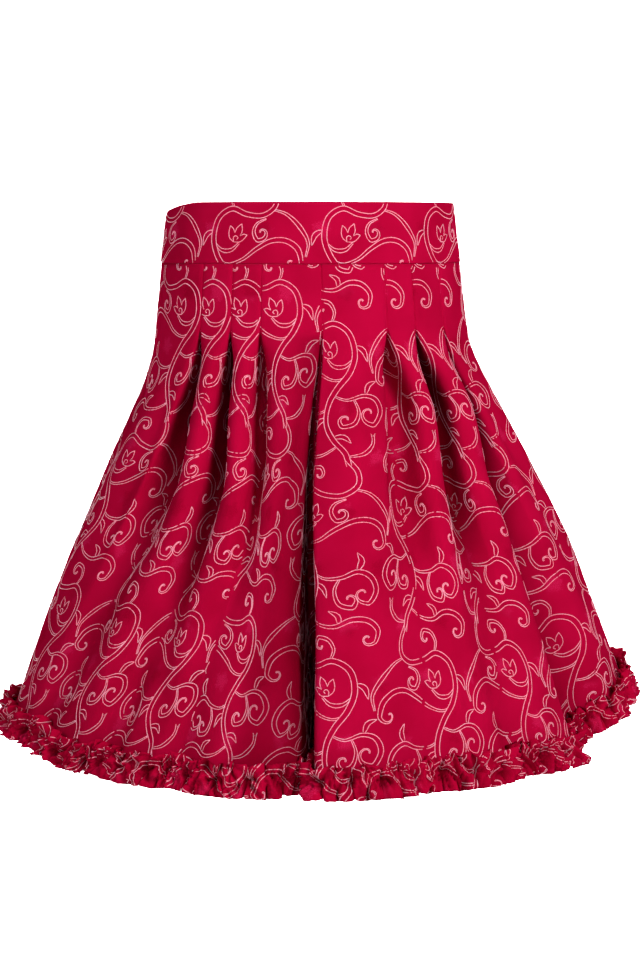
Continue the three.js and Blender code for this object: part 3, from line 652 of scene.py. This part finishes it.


# The scrolls woven into the brocade. One repeat is charted in millimetres: x across, y down. A stem
# is a centre line with the gap between its two outlines at its start, middle and end. A curl winds on round
# a centre by so many turns, and a horn flares its end.
repeat = {"across": 100, "down": 145, "mirror": 100, "line": 0.95, "height": 0.26, "sunk": 0.08,
          "fine": 1.2, "step": 2.6, "longest": 9}
stems = [
    {"path": [(28, -6), (20, 6), (20, 18), (31, 26), (46, 25), (60, 20), (73, 28), (77, 45), (72, 61),
              (62, 75), (55, 90), (54, 106), (61, 121), (70, 133), (73.5, 145)], "gap": (3.4, 4.6, 3.6)},
    {"path": [(71, 64), (61, 68), (48, 64), (36, 55), (23, 48), (10, 48), (0, 55), (-3, 66)],
     "gap": (1, 4, 5.2), "curl": (5, 67, 0.8, -1)},
    {"path": [(22, 21), (10, 25), (-1, 35), (-9, 49), (-7, 62)], "gap": (1, 3.6, 1)},
    {"path": [(28, 29), (36, 33), (39, 40), (36, 47)], "gap": (0.8, 3, 3), "curl": (32, 41, 0.8, 1)},
    {"path": [(75, 50), (68, 56), (59, 56), (52, 50)], "gap": (0.8, 3.4, 1.2)},
    {"path": [(58, 20), (61, 11), (57, 3), (49, 1)], "gap": (1.2, 2.8, 2.6), "curl": (50, 7.5, 0.7, -1)},
    {"path": [(56, 92), (46, 97), (33, 96), (21, 91), (11, 96), (7, 107), (12, 117)], "gap": (1, 4.2, 3),
     "curl": (17, 109.5, 0.75, -1)},
    {"path": [(34, 97), (38, 107), (35, 118), (26, 121)], "gap": (1, 3.4, 2.6),
     "curl": (27.5, 114, 0.7, 1)},
    {"path": [(64, 127), (53, 135), (39, 137), (26, 131), (14, 132), (6, 140), (7, 149)],
     "gap": (1, 4.2, 3), "curl": (13.5, 147, 0.8, -1)},
    {"path": [(59, 81), (70, 85), (83, 81), (94, 84), (99, 95), (94, 106)], "gap": (1, 4.2, 3.2),
     "curl": (88.5, 96.5, 0.8, 1)},
    {"path": [(75, 84), (79, 95), (76, 106), (68, 109)], "gap": (1, 3.2, 2.4),
     "curl": (69.5, 102.5, 0.7, 1)},
    {"path": [(72, 137), (84, 134), (92, 125), (92, 115)], "gap": (1, 3.6, 1.6), "horn": 2.6},
]
leaves = [  # small closed leaves on the stems: centre line and greatest width
    ([(35, 136), (36, 128), (43, 124)], 3.8), ([(78, 39), (85, 43), (88, 52)], 4.2),
    ([(54, 101), (47, 105), (44, 113)], 4), ([(21, 90), (18, 82), (21, 75)], 4.2),
    ([(85, 80), (88, 72), (95, 69)], 4), ([(60, 119), (68, 118), (74, 124)], 3.8),
]
bud = (54, 42, -24, 7.6)  # a small bud of three petals: place, turn in degrees, size


def throughPoints(points, step):  # a smooth curve through points, in even steps
    points = np.asarray(points, float)
    padded = np.vstack([2 * points[0] - points[1], points, 2 * points[-1] - points[-2]])
    curve = []
    for k in range(1, len(padded) - 2):
        p0, p1, p2, p3 = padded[k - 1:k + 3]
        t = spread(0, 1, 12)[:, None]
        curve.append(0.5 * (2 * p1 + (p2 - p0) * t + (2 * p0 - 5 * p1 + 4 * p2 - p3) * t * t
                            + (3 * p1 - 3 * p2 + p3 - p0) * t ** 3))
    return evenly(np.vstack(curve + [points[-1:]]), step)


def evenly(curve, step):
    run = runAlong(curve)
    at = np.linspace(0, run[-1], max(2, int(round(run[-1] / step)) + 1))
    return np.stack([np.interp(at, run, curve[:, k]) for k in (0, 1)], -1)


def sideways(curve):
    t = unit(np.gradient(curve, axis=0))
    return np.stack([-t[:, 1], t[:, 0]], -1)


def stemCurve(stem):
    points = list(stem["path"])
    if "curl" in stem:
        cx, cy, turns, way = stem["curl"]
        x, y = points[-1]
        radius, begin = math.hypot(x - cx, y - cy), math.atan2(y - cy, x - cx)
        steps = int(turns * 12)
        for k in range(1, steps + 1):
            share = k / steps
            r = mix(radius, 1.2, share ** 0.85)
            a = begin + way * share * turns * 2 * math.pi
            points.append((cx + r * math.cos(a), cy + r * math.sin(a)))
    curve = throughPoints(points, repeat["fine"])
    share = np.linspace(0, 1, len(curve))
    gap = np.interp(share, [0, 0.5, 1], stem["gap"])
    if "curl" in stem:  # the outlines close on each other towards the eye of the curl
        gap = mix(gap, 0.9, smooth((share - 0.66) / 0.3))
    if "horn" in stem:
        gap = gap + stem["horn"] * smooth((share - 0.86) / 0.14)
    return curve, gap


def stemLines(stem, curve, gap):
    side = sideways(curve) * gap[:, None] / 2
    if "curl" in stem:
        return [np.vstack([curve + side, (curve - side)[::-1]])]
    if "horn" in stem:
        notch = curve[-1] - unit(curve[-1] - curve[-2]) * stem["horn"]
        return [np.vstack([curve + side, notch[None], (curve - side)[::-1]])]
    return [curve + side, curve - side]


def leafLine(path, width):
    curve = throughPoints(path, repeat["fine"])
    share = np.linspace(0, 1, len(curve))
    side = sideways(curve) * (width / 2 * np.sin(math.pi * share ** 0.8) ** 0.8)[:, None]
    return np.vstack([curve + side, (curve - side)[::-1]])


def budLines(x, y, turn, size):
    petals = [
        [(0, 1), (-0.7, 0.7), (-1, 0.2), (-1.15, -0.35)], [(-1.15, -0.35), (-0.75, -0.3), (-0.42, 0.05)],
        [(-0.42, 0.05), (-0.4, -0.6), (0, -1.25)], [(0, -1.25), (0.35, -0.6), (0.32, 0)],
        [(0.32, 0), (0.7, -0.35), (1.2, -0.5)], [(1.2, -0.5), (1.05, 0.25), (0.65, 0.8), (0, 1)],
    ]
    vein = [(0, 1), (0.25, 0.55), (0.05, 0.25), (-0.3, 0.35), (-0.2, 0.62)]
    c, s = math.cos(turn * degree), math.sin(turn * degree)
    place = lambda px, py: (x + size * (px * c - py * s), y + size * (px * s + py * c))
    outline = np.vstack([throughPoints([place(*p) for p in petal], 1.1) for petal in petals])
    return [outline, throughPoints([place(*p) for p in vein], 1.1)]


def outside(line, bodies):  # the stretches of a line that don't lie between the outlines of other stems
    keep = np.ones(len(line), bool)
    for curve, gap in bodies:
        apart = np.linalg.norm(line[:, None] - curve[None], axis=2)
        keep &= apart.min(1) > gap[apart.argmin(1)] / 2 - 0.3
    cuts = np.flatnonzero(np.diff(keep.astype(int))) + 1
    parts = zip(np.split(line, cuts), np.split(keep, cuts))
    return [part for part, kept in parts if kept[0] and len(part) > 3]


bodies = [stemCurve(stem) for stem in stems]
unitLines = [part for k, stem in enumerate(stems) for line in stemLines(stem, *bodies[k])
             for part in outside(line, bodies[:k])]
unitLines += [part for leaf in leaves for part in outside(leafLine(*leaf), bodies)]
unitLines += budLines(*bud)
unitLength = sum(strides(line).sum() for line in unitLines)
print(f"scroll repeat charted: {len(unitLines)} lines, {unitLength:.0f} mm")


def thinned(line):  # wider steps on the straighter stretches
    keep = [0]
    t = unit(np.diff(line, axis=0))
    turned, run = 0, 0
    for k in range(1, len(line) - 1):
        turned += math.acos(min(1, max(-1, float(t[k - 1] @ t[k]))))
        run += float(np.linalg.norm(line[k] - line[k - 1]))
        if turned > 0.28 or run > repeat["step"]:
            keep.append(k)
            turned, run = 0, 0
    return line[keep + [len(line) - 1]]


unitLines = [thinned(line) for line in unitLines]


def patternLines(acrossLow, acrossHigh, downLow, downHigh, phase):  # the repeat's lines that reach a stretch
    cell = lambda edge, k, size: int((edge - phase[k]) // repeat[size])
    firstCol, lastCol = (cell(edge, 0, "across") for edge in (acrossLow, acrossHigh))
    lines = []
    for row in range(cell(downLow, 1, "down") - 1, cell(downHigh, 1, "down") + 2):
        for col in range(firstCol - 2, lastCol + 2):
            for line in unitLines:
                x = repeat["mirror"] - line[:, 0] if row % 2 else line[:, 0]
                y = line[:, 1] + phase[1] + row * repeat["down"]
                placed = np.stack([x + phase[0] + col * repeat["across"], y], -1)
                low, high = placed.min(0), placed.max(0)
                if high[0] > acrossLow and low[0] < acrossHigh and high[1] > downLow and low[1] < downHigh:
                    lines.append(placed)
    return lines


def onGrid(u, v, across, downs):  # column and row, with fractions, of points of the cloth plan
    row = np.interp(v, downs, np.arange(len(downs)))
    valid = (v > downs[0]) & (v < downs[-1])
    low = np.minimum(row.astype(int), len(downs) - 2)
    column, columns = np.zeros(len(u)), np.arange(len(across))
    for j in np.unique(low):
        here = low == j
        share = row[here] - j
        column[here] = mix(*(np.interp(u[here], across[:, k], columns) for k in (j, j + 1)), share)
        start, end = (mix(across[k, j], across[k, j + 1], share) for k in (0, -1))
        valid[here] &= (u[here] > start) & (u[here] < end)
    return column, row, valid


def fromGrid(grid, column, row):
    c = np.minimum(column.astype(int), grid.shape[0] - 2)
    r = np.minimum(row.astype(int), grid.shape[1] - 2)
    s, t = (column - c)[:, None], (row - r)[:, None]
    return mix(mix(grid[c, r], grid[c + 1, r], s), mix(grid[c, r + 1], grid[c + 1, r + 1], s), t)


def woven(lines, grid, normals, across, downs, paintedShade=None):
    # slim raised threads along lines of the cloth plan, as closed three-sided strips
    if not lines:
        return np.zeros((0, 3)), [], np.zeros(0)
    plan = np.vstack(lines)
    owner = np.concatenate([np.full(len(line), k) for k, line in enumerate(lines)])
    column, row, valid = onGrid(plan[:, 0], plan[:, 1], across, downs)
    points, facing = fromGrid(grid, column, row), unit(fromGrid(normals, column, row))
    joined = (owner[:-1] == owner[1:]) & valid[:-1] & valid[1:]
    joined &= strides(points) < repeat["longest"]
    before, after = points.copy(), points.copy()
    after[:-1][joined] = points[1:][joined]
    before[1:][joined] = points[:-1][joined]
    side = unit(np.cross(facing, after - before)) * repeat["line"] / 2
    foot = points - facing * repeat["sunk"]
    strip = np.stack([foot - side, points + facing * repeat["height"], foot + side], 1)
    used = np.zeros(len(points), bool)
    used[:-1] |= joined
    used[1:] |= joined
    number = np.cumsum(used) - 1
    a, b = number[:-1][joined] * 3, number[1:][joined] * 3
    faces = [quads(a, b, b + 1, a + 1), quads(a + 1, b + 1, b + 2, a + 2), quads(a + 2, b + 2, b, a)]
    starts = number[used & ~np.concatenate([[False], joined])] * 3
    ends = number[used & ~np.concatenate([joined, [False]])] * 3
    caps = [np.stack([starts, starts + 1, starts + 2], -1), np.stack([ends + 2, ends + 1, ends], -1)]
    # painted shade of the cloth under each thread
    paintedShades = np.zeros(len(points)) if paintedShade is None else fromGrid(paintedShade[..., None], column, row)[:, 0]
    faces = [face for part in faces + caps for face in part.tolist()]
    return strip[used].reshape(-1, 3), faces, np.repeat(paintedShades[used], 3)


def addThreads(name, parts):
    points, faces, paintedShades, count = [], [], [], 0
    for partPoints, partFaces, partPaintedShades in parts:
        points.append(partPoints)
        paintedShades.append(partPaintedShades)
        faces += [[k + count for k in face] for face in partFaces]
        count += len(partPoints)
    piece = addPiece(name, np.vstack(points), faces, [thread], paintedShade=np.concatenate(paintedShades))
    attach(piece, "skirt")
    return piece


# where the repeat starts: beside the inverted pleat's edge, and higher on the left of it than on the right
besidePleat = {panel["flat"]: panel["start"] for panel in panels}
skirtPhases = {"left": (besidePleat[centre - 1] - 43, -5), "right": (besidePleat[centre] + 49, 30)}
seamColumns = [flatFirst[i] + len(flatShares[i]) // 2 for i in (2, len(pleats) - 4)]
skirtPieces = [
    ("skirtFrontCloth", "skirt_front", seamColumns[0], seamColumns[1]),
    ("skirtBackLeftCloth", "skirt_back_left", 0, seamColumns[0]),
    ("skirtBackRightCloth", "skirt_back_right", seamColumns[1], columnCount - 1),
]
for name, node, begin, end in skirtPieces:
    part = slice(begin, end + 1)
    outer = turnedIn(cloth[part], clothNormals[part])
    piece = clothShell(name, outer, clothNormals[part], (acrossRight[part], acrossLeft[part], down),
                       skirt["thickness"], [skirtCloth, lining], clothPaintedShade[part])
    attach(piece, "skirt")
    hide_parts(node)
    parts = []
    for panel in panels:
        low, high = max(panel["begin"], begin), min(panel["end"], end)
        if high - low < 2:
            continue
        across = panel["across"][low - panel["begin"]:high - panel["begin"] + 1]
        phase = skirtPhases["left" if panel["flat"] < centre else "right"]
        lines = patternLines(across.min(), across.max(), down[0], down[-1], phase)
        shown = slice(low, high + 1)
        parts.append(woven(lines, cloth[shown], clothNormals[shown], across, down, clothPaintedShade[shown]))
    threads = addThreads(name.replace("Cloth", "Scrolls"), parts)
    width = float(acrossLeft[end, -1] - acrossRight[begin, -1])
    shown = np.diff(np.stack([acrossRight[begin:end], acrossLeft[begin + 1:end + 1]]), axis=0)[0].sum(0)
    # less what is folded away in the pleats
    area = float((0.5 * (shown[1:] + shown[:-1]) * np.diff(down)).sum())
    print(f"{name} made, {width:.0f} mm wide, {triangles(piece)} triangles, threads {triangles(threads)}")

waistband = {
    "top": -27, "foot": 26.85, "height": 54, "proud": 0.8, "thickness": 2.4, "step": 1.5,
    "fall": 9, "from": -54, "to": -90,  # its top edge sits lower on the left side
    "phase": (55, -159), "undulation": 0.35,
}
bandRows = np.array([-27, -26.75, -26.2, -25, -22, -17, -11, -5, 1, 7, 13, 18, 22, 24.8, 26, 26.55, 26.85])
edgeRound = np.array([1.15, 0.6, 0.22, 0.05] + [0] * 9 + [0.06, 0.2, 0.45, 0.8])
bandDown = bandRows - bandRows[0]


def bandGrid(begin, end):
    angles = np.linspace(begin, end, round((end - begin) / waistband["step"]) + 1)
    share = between(angles, waistband["from"], waistband["to"]) ** 1.2
    dip = waistband["fall"] * share * smooth((angles + 180) / 85)
    points, normals = np.zeros((2, len(angles), len(bandRows), 3))
    for i, angle in enumerate(angles):
        for j, row in enumerate(bandRows):
            drop = row + dip[i] * (waistband["foot"] - row) / waistband["height"]
            out = outwardAt(angle, drop)
            wave = waistband["undulation"] * math.sin(angle * 0.21 + row * 0.04) * math.sin(angle * 0.083 + 1)
            place = outlineAt(angle, drop) + out * (waistband["proud"] - edgeRound[j] + wave * bell(row / 20))
            points[i, j] = (*place, -drop)
            normals[i, j] = (*out, 0.08)
    return points, unit(normals)


bandRun = 0
bandPieces = [
    ("waistbandBackLeft", "waistband_back_left", -180, -90), ("waistbandFront", "waistband_front", -90, 90),
    ("waistbandBackRight", "waistband_back_right", 90, 180),
]
for name, node, begin, end in bandPieces:
    grid, normals = bandGrid(begin, end)
    runs = bandRun + runAlong(grid[:, len(bandRows) // 2])
    across = np.repeat(runs[:, None], len(bandRows), 1)
    piece = clothShell(name, turnedIn(grid, normals), normals, (across, across, bandDown),
                       waistband["thickness"], [bandCloth, lining])
    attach(piece, "skirt")
    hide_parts(node)
    lines = patternLines(runs[0], runs[-1], 0.6, bandDown[-1] - 0.4, waistband["phase"])
    threads = addThreads(name + "Scrolls", [woven(lines, grid, normals, across, bandDown)])
    (runs[-1] - runs[0]) * mm
    bandRun = float(runs[-1])
print(f"waistband made, {bandRun:.0f} mm round")

ruching = {
    "unit": 27, "vary": 0.2, "columns": 30, "rows": 17, "top": 25, "foot": -4.5, "seat": 0.8, "puff": 10.5,
    "pinch": 0.4, "crease": 3.4, "jag": 1.8, "mushroom": 2.4, "crumple": 3.2, "thickness": 0.7,
    "fullness": 1.75, "inPleat": 0.3, "shade": 1, "shadeTo": 0.72, "cutDepth": 32, "phase": (0, -40),
    "seed": 7,
}
dice = np.random.default_rng(ruching["seed"])
closed = lambda layer: np.vstack([layer[:-1], layer[:1]])
hemLoop, hemUpper, hemFacing = closed(cloth[:, -1]), closed(cloth[:, -7]), closed(clothNormals[:, -1])
for _ in range(6):
    hemFacing[1:-1] = unit(0.25 * hemFacing[:-2] + 0.5 * hemFacing[1:-1] + 0.25 * hemFacing[2:])
loopRun = runAlong(hemLoop)
units = round(loopRun[-1] / ruching["unit"])
widths = 1 + ruching["vary"] * dice.uniform(-1, 1, units)
edgesAt = np.concatenate([[0], np.cumsum(widths)]) / widths.sum() * loopRun[-1]
runs = np.concatenate([spread(a, b, ruching["columns"]) for a, b in zip(edgesAt[:-1], edgesAt[1:])])
unitMiddle = (edgesAt[:-1] + edgesAt[1:]) / 2


def perUnit(low, high):  # a value for each unit, blended from one to the next round the ring
    values = dice.uniform(low, high, units)
    at = np.concatenate([[unitMiddle[-1] - loopRun[-1]], unitMiddle, [unitMiddle[0] + loopRun[-1]]])
    return np.interp(runs, at, np.concatenate([values[-1:], values, values[:1]]))


spans = [(0.72, 1.18), (-3.4, 3.4), (-0.28, 0.28), (0.7, 1.25), (0, 6.28), (-1.8, 1.8), (-1, 1.4)]
puffs, shear, knot, pinches, spin, lean, lift = (perUnit(*span) for span in spans)
heights = np.linspace(1, -1, ruching["rows"])
ruche = np.zeros((len(runs), len(heights), 3))
at3 = lambda table, run: np.stack([np.interp(run, loopRun, table[:, k]) for k in range(3)], -1)
base, upper, facing = at3(hemLoop, runs), at3(hemUpper, runs), unit(at3(hemFacing, runs))
rise = unit(upper - base)
along = unit(np.cross(facing, rise))
calmed = np.interp(runs, loopRun, np.append(mix(ruching["inPleat"], 1, outOfPleat)[:-1], 1))
ridged = lambda x: 1 - 2 * np.abs(np.sin(math.pi * x)) ** 0.8
ruchePaintedShade = np.zeros(ruche.shape[:2])
for j, y in enumerate(heights):
    phase = np.interp((runs + shear * (y - knot)) % loopRun[-1], edgesAt, np.arange(units + 1))
    x = phase % 1
    near = np.minimum(x, 1 - x)  # how far from the knot that a unit is pinched at
    atEdge = float(smooth((abs(y) - 0.1) / 0.6))
    single = np.sin(math.pi * x) ** 0.7
    double = np.abs(np.sin(2 * math.pi * x + 0.5 * (spin - 3) * y)) ** 0.6
    out = mix(single, double, atEdge) * (1 + 0.12 * y * y)
    angle = np.arctan2((y - knot) * 0.5, np.where(x > 0.5, x - 1, x))
    crease = ridged(2.5 * angle / math.pi + spin)
    crumple = ridged(2.3 * phase + 0.9 * y + spin) * ridged(0.8 * y - 1.7 * phase + 2 * spin)
    out = (ruching["puff"] * puffs * out + ruching["crease"] * crease * smooth(near / 0.12)
           + ruching["crumple"] * crumple * smooth(near / 0.2))
    middle, half = (ruching["top"] + ruching["foot"]) / 2, (ruching["top"] - ruching["foot"]) / 2
    drawnIn = ruching["pinch"] * pinches * bell(near / 0.11) * (0.35 if y < 0 else 1)
    up = (middle + half * (y - knot * (1 - y * y)) * (1 - drawnIn) + lift * max(y, 0)
          + ruching["jag"] * np.sin(4 * math.pi * x + spin) * max(y, 0.15 * abs(y)))
    sway = ruching["mushroom"] * np.sin(4 * math.pi * x) * atEdge + lean * y * np.sin(math.pi * x)
    out = np.maximum(out, 0.15) * calmed
    ruche[:, j] = base + rise * up[:, None] + along * (sway * calmed)[:, None]
    ruche[:, j] += facing * (ruching["seat"] + out)[:, None]
    # painted shade in the ruching's hollows, darker where it puffs out less
    ruchePaintedShade[:, j] = ruching["shade"] * (1 - smooth(out / (ruching["shadeTo"] * ruching["puff"])))


rucheNormals = gridNormals(np.concatenate([ruche[-1:], ruche, ruche[:1]]))[1:-1]
across = np.repeat(np.append(runs, loopRun[-1])[:, None] * ruching["fullness"], ruching["rows"], 1)
rucheDown = np.linspace(0, ruching["cutDepth"], ruching["rows"])
piece = clothShell("hemRuching", ruche, rucheNormals, (across, across, rucheDown), ruching["thickness"],
                   [trimCloth], ruchePaintedShade, ring=True)
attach(piece, "skirt")
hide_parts("hem_ruffle")
lines = patternLines(0, across[-2, 0], 0, ruching["cutDepth"], ruching["phase"])
lines = [evenly(line, repeat["fine"]) for line in lines]
threads = addThreads("hemRuchingScrolls", [
    woven(lines, ruche, rucheNormals, across[:-1], rucheDown, ruchePaintedShade)])
print(f"ruching made, {units} units, {triangles(piece)} triangles, threads {triangles(threads)}")


zipMetal = {"enamel": colour(132, 8, 36), "worn": colour(176, 120, 118), "scuffs": 1500, "rounding": 0.12}


def zipMaterial():
    material, place = newMaterial("zipEnamel", zipMetal["enamel"], Coat_Weight=0.3, Coat_Roughness=0.2)
    scuffs = place.noise(zipMetal["scuffs"], 4)
    worn = scuffs.ramp(0.66, 0.8)
    worn.tint(zipMetal["enamel"], zipMetal["worn"]).plug("Base Color")
    (scuffs * 0.2 + 0.28).plug("Roughness")
    (worn * 0.6 + 0.2).plug("Metallic")
    scuffs.bump(0.25, 0.0001)
    return material


zipEnamel = zipMaterial()
for node in ("zip_slider", "zip_pull"):
    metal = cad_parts[node]
    for slot in metal.material_slots:
        slot.material = zipEnamel
    rounded = metal.modifiers.new("rounded", "BEVEL")
    rounded.width, rounded.segments, rounded.limit_method = zipMetal["rounding"] * mm, 2, "ANGLE"


view = {"azimuth": -5, "distance": 2, "pitch": 6.49, "aside": 0.0083, "lens": 81.5}
a = view["azimuth"] * degree
camera = addObject("camera", bpy.data.cameras.new("camera"))
camera.data.lens, camera.data.sensor_width, camera.data.clip_end = view["lens"], 36, 30
camera.location = (view["distance"] * math.sin(a) + view["aside"] * math.cos(a),
                   -view["distance"] * math.cos(a) + view["aside"] * math.sin(a), 0)
camera.rotation_euler = (math.pi / 2 - view["pitch"] * degree, 0, a)
bpy.context.scene.camera = camera

studio = {
    "floor": -1.05, "half": 6, "wall": 5, "bend": 1.8, "white": colour(250, 250, 250), "world": 0.07,
    "top": 4, "curveSteps": 12,
}
paper, place = newMaterial("backdropPaper", studio["white"], Roughness=0.9)
place.noise(2, 2).tint(colour(249, 249, 249), colour(252, 252, 252)).plug("Base Color")
profile = [(-studio["half"], studio["floor"])]
for t in np.linspace(0, math.pi / 2, studio["curveSteps"] + 1):
    back, rise = studio["bend"] * (1 - math.sin(t)), studio["bend"] * (1 - math.cos(t))
    profile.append((studio["wall"] - back, studio["floor"] + rise))
profile.append((studio["wall"], studio["top"]))
points = np.array([(x, y, z) for x in (-studio["half"], studio["half"]) for y, z in profile]) / mm
n = len(profile)
faces = [(k, k + n, k + n + 1, k + 1) for k in range(n - 1)]
backdrop = addPiece("backdrop", points, faces, [paper])
backdrop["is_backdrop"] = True

world = bpy.data.worlds.new("softRoom")
world.use_nodes = True
world.node_tree.nodes["Background"].inputs[0].default_value = (1, 1, 1, 1)
world.node_tree.nodes["Background"].inputs[1].default_value = studio["world"]
bpy.context.scene.world = world
bpy.context.scene.view_settings.view_transform = "Standard"


def addLamp(name, place, target, size, power, spread=180):
    lamp = addObject(name, bpy.data.lights.new(name, "AREA"))
    lamp.data.size, lamp.data.energy, lamp.data.spread = size, power, spread * degree
    lamp.location = place
    toward = [t - p for t, p in zip(target, place)]
    flat = math.hypot(toward[0], toward[1])
    lamp.rotation_euler = (math.atan2(flat, -toward[2]), 0, math.atan2(toward[1], toward[0]) - math.pi / 2)


middle = (0, 0, -0.22)
addLamp("keyRight", (0.78, -1.4, 0.72), middle, 0.45, 27)
addLamp("fillLeft", (-1.9, -1.3, 0.9), middle, 1.1, 15)
addLamp("softFront", (-0.2, -2.9, 0.1), middle, 1.2, 13)
addLamp("backdropLeft", (-1.8, 1.7, 2.9), (-0.7, 3.9, -0.7), 1.8, 230, 95)
addLamp("backdropRight", (1.8, 1.7, 2.9), (0.7, 3.9, -0.7), 1.8, 230, 95)
print("camera, lights and backdrop set")

({"cad": [list(map(float, corner)) for corner in cadBox],
           "visual": [list(map(float, corner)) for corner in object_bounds()]})
